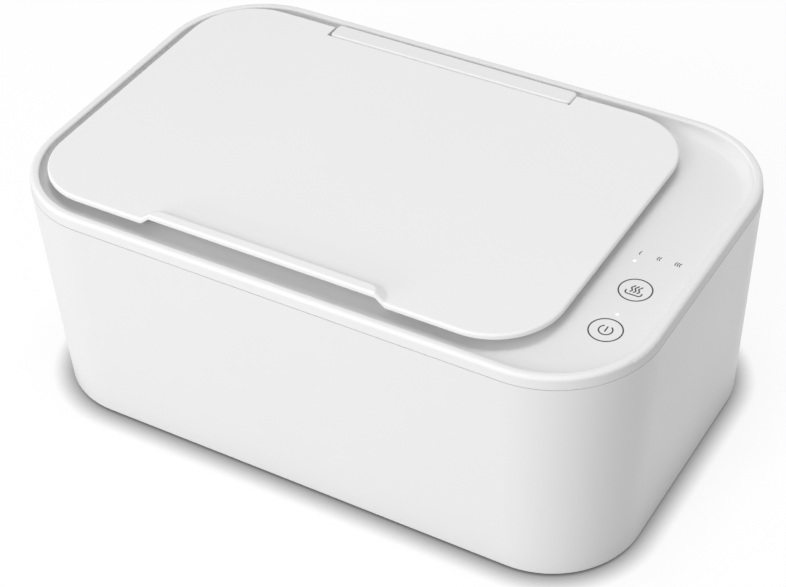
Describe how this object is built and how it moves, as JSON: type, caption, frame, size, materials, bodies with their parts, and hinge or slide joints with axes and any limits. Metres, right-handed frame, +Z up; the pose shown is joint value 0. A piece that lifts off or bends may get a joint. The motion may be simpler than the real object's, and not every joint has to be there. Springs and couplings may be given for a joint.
{
  "type": "baby wipe warmer",
  "caption": "Rounded box wipe warmer with a hinged hovering lid, a front grip lip, a heated inner tub and touch keys beside the lid.",
  "frame": {"origin": "on the floor under the centre of the body, at the bottom of the rubber feet", "axes": "+X along the long front towards the touch keys, +Y to the back where the lid is hinged, +Z up"},
  "size_m": [0.24, 0.152, 0.0975],
  "materials": {
    "shell_white": "satin white",
    "cover_white": "satin white",
    "lid_white": "fine matt white",
    "tub_white": "smooth white",
    "base_grey": "light grey",
    "silicone": "translucent grey silicone",
    "foot_rubber": "dark grey",
    "steel": "zinc plated",
    "aluminium": "rolled sheet",
    "film_amber": "polyimide film",
    "foam": "closed cell foam",
    "board_green": "solder mask",
    "dark_plastic": "moulded black",
    "clear_plastic": "clear moulded",
    "wire_white": "insulated wire",
    "wire_black": "insulated wire",
    "led_white": "diffused"
  },
  "bodies": {
    "housing": {"outer_shell": "shell_white", "base_plate": "base_grey", "rubber_feet": "foot_rubber", "base_screws": "steel", "cover_screws": "steel", "top_cover": "cover_white", "inner_tub": "tub_white", "tub_gasket": "silicone", "tub_screws": "steel", "heater_plate": "aluminium", "heating_film": "film_amber", "insulation_pad": "foam", "thermal_fuse": "steel", "thermistor": "dark_plastic", "power_board": "board_green", "board_parts": "dark_plastic", "board_screws": "steel", "inlet_board": "board_green", "power_inlet": "steel", "inlet_cable": "wire_black", "heater_leads": "wire_white", "control_board": "board_green", "control_board_screws": "steel", "control_parts": "dark_plastic", "panel_ribbon": "wire_white", "touch_pads": "dark_plastic", "indicator_leds": "led_white", "light_guides": "clear_plastic", "hinge_pins": "steel"},
    "lid": {"lid_cover": "lid_white", "lid_inner_panel": "tub_white", "lid_screws": "steel", "lid_seal": "silicone"}
  },
  "joints": [
    {"name": "lid_hinge", "type": "hinge", "parent": "housing", "child": "lid", "pos_m": [-0.0125, 0.06555, 0.0925], "axis": [-1, 0, 0], "range_deg": [0, 105]}
  ]
}
